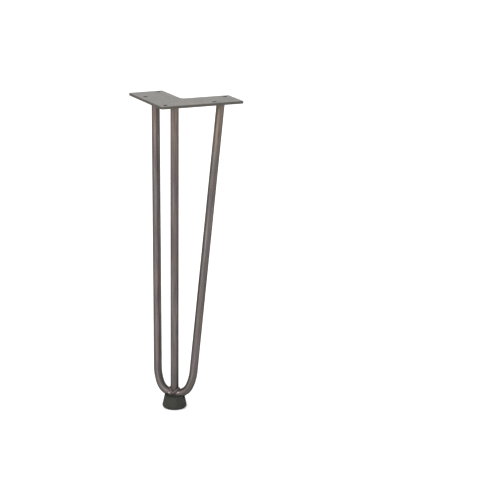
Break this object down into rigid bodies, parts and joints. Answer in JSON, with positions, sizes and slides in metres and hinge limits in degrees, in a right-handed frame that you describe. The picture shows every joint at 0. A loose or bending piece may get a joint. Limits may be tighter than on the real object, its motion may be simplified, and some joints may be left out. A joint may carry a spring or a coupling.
{
  "type": "hairpin table leg",
  "caption": "Hairpin table leg: a steel rod bent into a narrow U and a straight rod between its legs carry an L-shaped screw plate, and a grooved rubber foot sits under the bend.",
  "frame": {"origin": "on the mounting plate's top face, where the middle lines of its two arms cross", "axes": "+Z is the top face's normal and points up into the table top; +X and +Y run along the plate's two arms from its outer corner"},
  "size_m": [0.1265, 0.1265, 0.4595],
  "materials": {
    "plate_steel": "raw hot-rolled sheet, dull grey",
    "rod_steel": "raw bar, brownish grey, streaked lengthwise",
    "weld_steel": "bare weld metal, rippled",
    "foot_rubber": "matt moulded rubber"
  },
  "bodies": {
    "root": {"mounting_plate": "plate_steel", "hairpin_rod": "rod_steel", "centre_rod": "rod_steel", "x_arm_weld": "weld_steel", "y_arm_weld": "weld_steel", "centre_weld": "weld_steel", "bend_weld": "weld_steel", "rubber_foot": "foot_rubber"}
  },
  "joints": []
}
